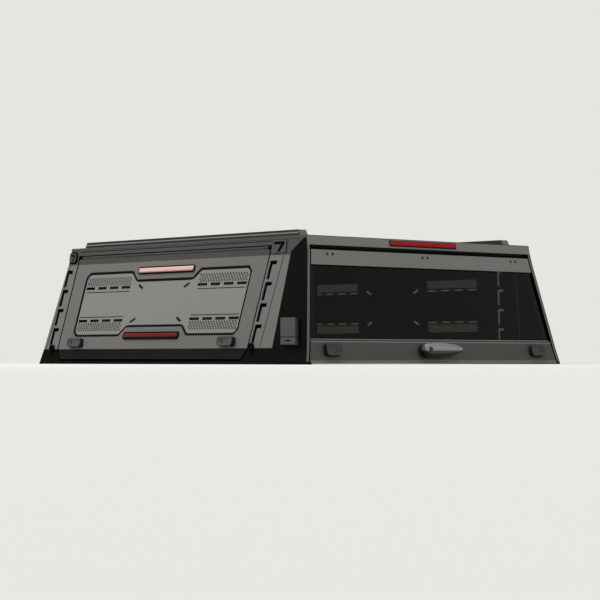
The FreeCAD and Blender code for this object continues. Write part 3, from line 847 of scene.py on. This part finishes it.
def post_shades(label, sign):
    """A black rim round each tie slot of a front and a rear post, painted shade at the slot."""
    pitch = (first_slot - last_slot + slot_bridge) / slot_count
    drop = pitch - slot_bridge
    half, lean, foot = slot_width / 2, door_shear * arm_height, door_shear * drop
    outline = [(-arm, 0), (lean - arm, -arm_height), (lean - half, -arm_height), (foot - half, -drop),
               (foot + half, -drop), (half, 0)]
    shades = []
    for start in (door_front(high_fold[1]) + seam + 0.057, door_rear(high_fold[1]) - seam - 0.014):
        for index in range(slot_count):
            shade_rim = shifted(shade_rim_round("tie_slot_trim", outline, 0.0014), 0, 0, -0.0006)
            station = start + door_shear * index * pitch
            shades.append(placed(shade_rim, side_place(sign, station, first_slot - index * pitch)))
    finished(joined("tie_slot_trims_" + label, shades), "canopy", "rubber")


def post_creases(label, sign):
    """Black lines along the hems folded on each post, painted shade in the creases."""
    front = [front_station(fold[1]) - 0.016 for fold in middle_facet]
    lines = []
    for foot, head in (front, (crease_foot[0], crease_head[0])):
        outline = pressed_line((foot, low_fold[1] + 0.003), (head, high_fold[1] - 0.003), hem_width)
        line = crisp(slab("post_crease", outline, *line_levels))
        lines.append(placed(line, side_place(sign, 0)))
    finished(joined("post_creases_" + label, lines), "canopy", "rubber")


# Lights
def lamp(name, half_length, half_height, proud, place, edge):
    """A red lens in a black bezel. Returns the bezel and the lens."""
    bezel = cuboid(name + "_bezel", (-half_length - edge, -half_height - edge, -0.004),
                   (half_length + edge, half_height + edge, proud * 0.72))
    lens = cuboid(name + "_lens", (-half_length, -half_height, 0), (half_length, half_height, proud * 0.7))
    round_uprights(bezel, half_height * 0.7 + edge, 5, proud * 0.5)
    round_uprights(lens, half_height * 0.7, 5, proud * 0.5)
    dish(bezel, edge * 0.75, proud * 0.45)
    with shaping(lens):
        choose(lens, "faces", downward)
        bpy.ops.mesh.delete(type="FACE")
        choose(lens, "faces", upward)
        bpy.ops.mesh.inset(thickness=half_height * 0.4)
        lift(proud * 0.3)
    softened(bezel, min(edge * 0.2, 0.0010))
    softened(lens, 0.0010, 3, 20)
    return placed(bezel, place), placed(lens, place)


def side_lamps(label, sign):
    node = "side_door_lamps_" + label
    bezels = []
    for level, kind in zip(lamp_levels, ("lower", "upper")):
        place = side_place(sign, door_middle + door_shear * (door_top - level), level, door_shear)
        bezel, lens = lamp(node, lamp_length / 2, lamp_height / 2, lamp_depth, place, bezel_edge)
        bezels.append(bezel)
        named(lens, "side_door_%s_lens_%s" % (kind, label))
        finished(lens, "door_" + label, kind + "_lens")
    finished(joined(node + "_bezels", bezels), "door_" + label, "rubber", node)


def brake_light():
    half, low, high = header_light
    bezel, lens = lamp("brake_light", half - 0.003, (high - low) / 2 - 0.0020, 0.004,
                       rear_place(0, (low + high) / 2), 0.0022)
    finished(bezel, "canopy", "rubber", "brake_light")
    finished(lens, "canopy", "header_lens")


# Lock covers
def lock_cover(name, width, height, proud):
    """A rounded cover with a raised pad. Returns the cover, its barrel and its key slot."""
    cover = cuboid(name, (-width / 2, -height / 2, 0), (width / 2, height / 2, proud))
    round_uprights(cover, height * 0.30, 6, proud * 0.9)
    with shaping(cover):
        choose(cover, "faces", upward)
        pull(0)
        bpy.ops.transform.resize(value=(0.90, 0.80, 1))
        choose(cover, "faces", lambda face: upward(face) and face.calc_area() > width * height * 0.4)
        bpy.ops.mesh.inset(thickness=0.004)
        pull(-0.0015)
        choose(cover, "faces", downward)
        bpy.ops.mesh.delete(type="FACE")
    softened(cover, 0.0022, 3, 25)
    across = width * 0.18
    barrel = rod(name + "_barrel", height * 0.21, 0.004, (across, 0, proud - 0.0025), 24)
    softened(dish(barrel, 0.0014, 0.0007), 0.0004)
    key = cuboid(name + "_key", (across - 0.0008, -height * 0.12, proud - 0.0015),
                 (across + 0.0008, height * 0.12, proud - 0.0010))
    return cover, barrel, crisp(key)


def locks(body, node, places, size):
    groups = [], [], []
    for place in places:
        for piece, group in zip(lock_cover(node, *size, lock_depth), groups):
            group.append(placed(piece, place))
    covers, barrels, keys = groups
    cover = finished(joined(node + "_covers", covers), body, "plastic", node)
    # The outward faces take deep grey, a painted highlight on the lit face; the sides stay black plastic
    outward = places[0].col[2].to_3d()
    faced(cover, lambda face: face.normal.dot(outward) > facing, "deep_grey")
    finished(joined(node + "_barrels", barrels), body, "plastic")
    # The black key slots are painted shade in the keyholes
    finished(joined(node + "_key_slots", keys), body, "dark")


def side_locks(label, sign):
    stations = (door_rear(lock_level) + 0.122, door_front(lock_level) - 0.122)
    places = [side_place(sign, station, lock_level) for station in stations]
    locks("door_" + label, "side_door_locks_" + label, places, lock_size)


def rear_locks():
    reach = half_width(rear_lock_level) - 0.128
    places = [rear_place(side * reach, rear_lock_level) for side in (-1, 1)]
    locks("rear_door", "rear_locks", places, rear_lock_size)


# Handle of the rear door
def rear_handle():
    place = rear_place(handle_pivot, handle_level)
    rose = softened(dish(rod("rear_handle_rose", 0.026, 0.008, (0, 0, 0.004), 48), 0.0035, 0.0012), 0.0016, 3)
    finished(placed(rose, place), "rear_door", "plastic", "rear_handle_base")
    lower = [(-0.024, -0.012), (-0.012, -0.023), (0.040, -0.025), (0.095, -0.024), (0.145, -0.019),
             (0.178, -0.011)]
    outline = lower + [(0.190, 0.0)] + [(x, -y) for x, y in lower[::-1]]
    boat = slab("rear_handle_boat", outline, 0.017, 0.036)
    with shaping(boat):
        choose(boat, "faces", upward)
        for margin, rise in ((0.0065, 0.006), (0.0035, -0.0018)):
            bpy.ops.mesh.inset(thickness=margin)
            lift(rise)
    softened(boat, 0.0028, 4, 20)
    hub = softened(rod("rear_handle_hub", 0.017, 0.012, (0, 0, 0.0145), 40))
    pin = softened(dish(rod("rear_handle_pin", 0.0085, 0.003, (0.004, 0, 0.0415), 32), 0.002, 0.001), 0.0006)
    lever = joined("rear_handle_lever_finished", [boat, hub])
    finished(placed(lever, place), "rear_lever", "lever", "rear_handle_lever")
    finished(placed(pin, place), "rear_lever", "plastic")


# Tie eyes and corner plates
def tie_eye():
    """A forged eye with a tail, flat round its bore."""
    deselect()
    bpy.ops.mesh.primitive_torus_add(major_segments=40, minor_segments=14, major_radius=0.0112,
                                     minor_radius=0.0042)
    eye = shifted(settle("tie_eye"), 0, 0, 0.0055)
    foot = rod("tie_eye_foot", 0.0152, 0.0052, (0, 0, 0.0024), 40)
    with shaping(foot):
        choose(foot, "faces", lambda face: upward(face) or downward(face))
        bpy.ops.mesh.inset(thickness=0.0075)
        bpy.ops.mesh.bridge_edge_loops()
    softened(foot, 0.0009)
    outline = [(-0.0085, -0.034), (0.0085, -0.034), (0.010, -0.009), (-0.010, -0.009)]
    tail = softened(slab("tie_eye_tail", outline, -0.003, 0.005), 0.002, 3)
    return joined("tie_eye", [eye, foot, tail])


def corner_plate(length, height, radius, thickness):
    """A flat plate with a cranked slot, from its rear lower corner, and a black back behind the slot as
    painted shade.
    """
    plate = slab("corner_plate", rectangle(0, 0, length, height), 0, thickness)
    round_uprights(plate, radius, 5, thickness * 0.9)
    shape = [(0.13, 0.88), (0.13, 0.64), (0.42, 0.10), (0.63, 0.10), (0.38, 0.66), (0.87, 0.66), (0.87, 0.88)]
    cut(plate, slab("corner_slot", [(length * x, height * z) for x, z in shape], -0.004, 0.010))
    outline = rectangle(length * 0.08, height * 0.06, length * 0.92, height * 0.92)
    return softened(plate, 0.0006), crisp(slab("corner_back", outline, 0.0002, 0.0009))


def tie_points(label, sign):
    """Two tie eyes, and two plates on the upper fold over the side door's corners."""
    node = "tie_points_" + label
    eyes = [placed(tie_eye(), side_place(sign, station, eye_level)) for station in eye_stations]
    low = high_fold[1] + 0.006
    front = side_place(sign, door_front(high_fold[1]) + seam + 0.003, low, facet=upper_facet)
    rear = side_place(sign, door_rear_station - 0.094, low, facet=upper_facet)
    block = slab("corner_block", rectangle(0, 0, 0.056, 0.050), 0, 0.0030)
    round_uprights(block, 0.015, 6, 0.0025)
    softened(block)
    plates, backs = [], []
    for size, place in (((0.040, 0.036, 0.010, 0.0018), front @ Matrix.Translation((0.009, 0.007, 0.0029))),
                        ((0.080, 0.050, 0.005, 0.0046), rear)):
        plate, back = corner_plate(*size)
        plates.append(placed(plate, place))
        backs.append(placed(back, place))
    finished(joined(node + "_plates", plates), "canopy", "deep_grey")
    # The black backs in the slots are painted shade
    finished(joined(node + "_backs", backs), "canopy", "dark")
    finished(placed(block, front), "canopy", "black")
    finished(joined(node + "_finished", eyes), "canopy", "black", node)


# Box on the rear quarter
def access_box(label, sign):
    """A closed box with a lid line and a finger slot, leaning like the post."""
    node = "access_box_" + label
    low, height, rear, length, shift = 0.071, 0.102, 0.057, 0.082, 0.022
    halves = []
    for bottom, top in ((0, 0.0275), (0.0295, height)):
        near, far = shift * bottom / height, shift * top / height
        outline = [(near, bottom), (length + near, bottom), (length + far, top), (far, top)]
        half = slab(node, outline, 0, 0.0195)
        with shaping(half):
            choose(half, "faces", upward)
            bpy.ops.mesh.inset(thickness=0.004)
            lift(-0.0006)
        halves.append(softened(half, 0.0022, 3, 20))
    # A black core shows in the lid line, and a black strip marks the finger slot: painted shade in both
    core = slab(node + "_core", [(0.004, 0.003), (length - 0.001, 0.003),
                                 (length + shift - 0.006, height - 0.003),
                                 (shift + 0.001, height - 0.003)], 0, 0.0165)
    slot = slab(node + "_slot", [(0.028, 0.012), (0.058, 0.012), (0.0595, 0.018), (0.0295, 0.018)],
                0.0175, 0.0193)
    place = side_place(sign, rear, low)
    finished(placed(joined(node + "_finished", halves), place), "canopy", "deep_grey", node)
    dark = joined(node + "_core", [softened(core), softened(slot, 0.0005)])
    finished(placed(dark, place), "canopy", "dark")


# Fixings of the rear door
def dome_bolt(name, radius, height):
    """A low round head with a socket, standing on zero."""
    head = dish(rod(name, radius, height, (0, 0, height / 2), 24), radius * 0.5, height * 0.5)
    with shaping(head, "VERT"):
        choose(head, "verts", lambda corner: corner.co.z > height * 0.9
               and corner.co.xy.length > radius * 0.9)
        lift(-height * 0.4)
    return softened(head, radius * 0.10, 2, 20)


def rear_rail_lip():
    """The out-turned bottom edge of the rear door, which sheds water."""
    reach = half_width(0.012) - corner_strip - seam - 0.004
    section = [(-0.0075, -0.0105), (-0.0055, -0.0115), (0.002, -0.001), (0.002, 0.003), (0, 0.003),
               (0, -0.001)]
    lip = softened(slab("rear_rail_lip", section, -reach, reach), 0.0005)
    # The lip's grey, lighter than the rail's, is a painted highlight on its upper face
    finished(placed(lip, cross_place(0, rear_edge + rear_run * 0.0145, 0.0145)), "rear_door", "grey")


def rear_plate_bolts():
    bolts = [placed(dome_bolt("rear_plate_bolt", 0.0055, 0.0032), rear_place(middle + side * 0.014, 0.4195))
             for middle in (-0.513, 0.0, 0.513) for side in (-1, 1)]
    finished(joined("rear_plate_bolts", bolts), "rear_door", "plastic")


# Seals
def seal_loop(name, points, radius):
    """A round rubber seal on the shell, along a closed path of points."""
    curve = bpy.data.curves.new(name, "CURVE")
    curve.dimensions = "3D"
    curve.bevel_depth = radius
    curve.bevel_resolution = 2
    line = curve.splines.new("POLY")
    line.points.add(len(points) - 1)
    for point, place in zip(line.points, points):
        point.co = (*place, 1)
    line.use_cyclic_u = True
    activate(added(name, curve))
    bpy.ops.object.convert(target="MESH")
    piece = tidied(bpy.context.object)
    bpy.ops.object.shade_smooth_by_angle(angle=math.radians(60))
    finished(piece, "canopy", "rubber")


def side_seal(label, sign):
    """The bulb seal on the jamb's lip that the closed door presses on."""
    inset, depth = 0.006, 0.031
    low, high = 0.020 + inset, 0.4565 - 0.010
    fold = low_fold[1]
    stations = [
        (door_rear(fold) + 0.026 + inset, low), (door_front(fold) - 0.026 - inset, low),
        (door_front(fold) - inset, fold), (door_front(high) - inset, high),
        (door_rear(high) + inset, high), (door_rear(fold) + inset, fold),
    ]
    points = []
    for station, height in stations:
        facet = upper_facet if height > high_fold[1] else middle_facet if height >= fold else lower_facet
        points.append(side_place(sign, station, height, facet=facet) @ Vector((0, 0, -depth)))
    seal_loop("door_seal_" + label, points, 0.0035)


def window_seal():
    """The rubber profile round the window of the front wall."""
    half, low, high, radius, steps = 0.470, 0.150, 0.410, 0.045, 8
    run = front_setback / body_height
    points = []
    for x, z, start in ((half, low, -90), (half, high, 0), (-half, high, 90), (-half, low, 180)):
        middle_x = x - math.copysign(radius, x)
        middle_z = z + radius if z == low else z - radius
        for step in range(steps + 1):
            angle = math.radians(start + 90 * step / steps)
            height = middle_z + radius * math.sin(angle)
            y = rear_edge + base_length - run * height - 0.0005
            points.append((middle_x + radius * math.cos(angle), y, height))
    seal_loop("front_window_seal", points, 0.0048)


# Roof rails and cant rails
rail_middle = 0.567
rail_half = 0.0198
rail_feet = (0.166, 1.530)
rail_levels = (body_height + 0.0003, body_height + 0.0246)
rail_slope = 0.014
cap_depth = 0.004
bead_levels = (0.4995, 0.5050)
bead_reach = (0.0200, 0.0009)
seam_level = 0.4715
seam_width = 0.0026


def rail_fittings(label, sign):
    """The bolts in a roof rail's groove, the caps on its ends and the bead on its outer side."""
    middle = sign * rail_middle
    first, last = rail_feet
    bolts = [shifted(dome_bolt("roof_rail_bolt", 0.0046, 0.004), middle,
                     rear_edge + first + (last - first) * share, body_height + 0.005)
             for share in (0.08, 0.36, 0.64, 0.92)]
    finished(joined("roof_rail_bolts_" + label, bolts), "canopy", "steel")
    low, high = rail_levels
    caps = []
    for station, way in ((first, 1), (last, -1)):
        foot = rear_edge + station - way * 0.0006
        head = foot + way * rail_slope
        outline = [(foot, low), (head, high), (head + way * cap_depth, high), (foot + way * cap_depth, low)]
        cap = softened(slab("roof_rail_cap", outline, -rail_half, rail_half), 0.0014, 3)
        caps.append(placed(cap, cross_place(middle, 0, 0)))
    finished(joined("roof_rail_caps_" + label, caps), "canopy", "grey")
    # The bead is raised, and its light grey is a painted highlight along the rail's outer side
    outer = middle + sign * bead_reach[0]
    left, right = sorted((outer, outer + sign * bead_reach[1]))
    bead = cuboid("roof_rail_bead_" + label, (left, rear_edge + first + 0.010, bead_levels[0]),
                  (right, rear_edge + last - 0.010, bead_levels[1]))
    finished(softened(bead, 0.0004), "canopy", "light_grey")


def cant_seam(label, sign):
    """A black line along a cant rail, painted shade in its seam."""
    outline = pressed_line((0.205, seam_level), (door_front(seam_level) - 0.002, seam_level), seam_width)
    line = crisp(slab("cant_seam_" + label, outline, *line_levels))
    finished(placed(line, side_place(sign, 0, facet=upper_facet)), "canopy", "rubber")


window_seal()
for label, sign in sides:
    for make in (rail_fittings, cant_seam, side_insert, insert_gasket, side_lamps, side_locks, tie_points,
                 post_shades, post_creases, access_box, side_seal):
        make(label, sign)
brake_light()
rear_locks()
rear_handle()
rear_plate_bolts()
rear_rail_lip()


# Floor and light
pale = colour(230, 229, 224)
floor_glow = 0.74
glow_range = (1.0, 9.0)


def floor_finish():
    """A pale floor that shows the backdrop's tone to the camera and keeps the shadow."""
    finish = Finish("pale_floor")
    place = finish.place
    tone = place.noise(0.6).blend(colour(163, 162, 158), colour(167, 166, 162))
    lit = finish.shader(Base_Color=tone, Roughness=0.8, Specular_IOR_Level=0.0)
    seen = place.node("ShaderNodeLightPath")
    away = distance(place.part(0), place.part(1)).ramp(*glow_range)
    glow = place.node("ShaderNodeEmission", inputs={"Color": away.blend(shade(pale, 0.87), shade(pale, 1.10)),
                                                    "Strength": seen * floor_glow})
    return finish.done(place.node("ShaderNodeAddShader", inputs={0: lit, 1: glow}))


deselect()
bpy.ops.mesh.primitive_plane_add(size=400)
floor = bpy.context.object
floor.name = "floor"
floor.data.materials.append(floor_finish())


def studio_world(light, strength):
    """Soft even light, with the backdrop's own tone where it is seen or mirrored."""
    world = bpy.data.worlds.new("studio")
    bpy.context.scene.world = world
    world.use_nodes = True
    tree = world.node_tree
    tree.nodes.clear()
    path = tree.nodes.new("ShaderNodeLightPath")
    seen, glossy, through = (Field(tree, path.outputs[kind + " Ray"])
                             for kind in ("Is Camera", "Is Glossy", "Is Transmission"))
    share = (seen + glossy * 0.8 + through).maths("MINIMUM", 1.0)
    lit = seen.node("ShaderNodeBackground", inputs={"Color": light, "Strength": strength})
    shown = seen.node("ShaderNodeBackground", inputs={"Color": pale, "Strength": 1.0})
    both = seen.node("ShaderNodeMixShader", inputs={0: share, 1: lit, 2: shown})
    end = tree.nodes.new("ShaderNodeOutputWorld")
    tree.links.new(both.socket, end.inputs["Surface"])


def area_light(name, place, target, size, power):
    data = bpy.data.lights.new(name, "AREA")
    data.shape = "RECTANGLE"
    data.size, data.size_y = size
    data.energy = power
    light = added(name, data)
    light.location = place
    light.rotation_euler = (Vector(target) - Vector(place)).to_track_quat("-Z", "Y").to_euler()


studio_world((0.95, 0.97, 1.0, 1.0), 0.41)
area_light("sky_panel", (-2.2, 0.6, 4.2), (0, 0, 0.2), (5.0, 5.0), 162)
area_light("side_panel", (-5.5, 2.5, 2.2), (0, 0, 0.2), (3.0, 2.5), 75)
area_light("rear_panel", (1.6, -6.0, 2.6), (0, -0.8, 0.3), (3.0, 2.0), 60)

# Camera at the photograph's place, turned to the canopy
camera_data = bpy.data.cameras.new("camera")
camera_data.sensor_width = 36.0
camera_data.lens = 132.0
camera = added("camera", camera_data)
camera.location = (-6.1958, -6.8399, 0.0217)
camera.rotation_euler = (math.radians(90 + 1.53), 0.0, math.radians(-42.22))
bpy.context.scene.camera = camera
bpy.context.scene.view_settings.view_transform = "Standard"
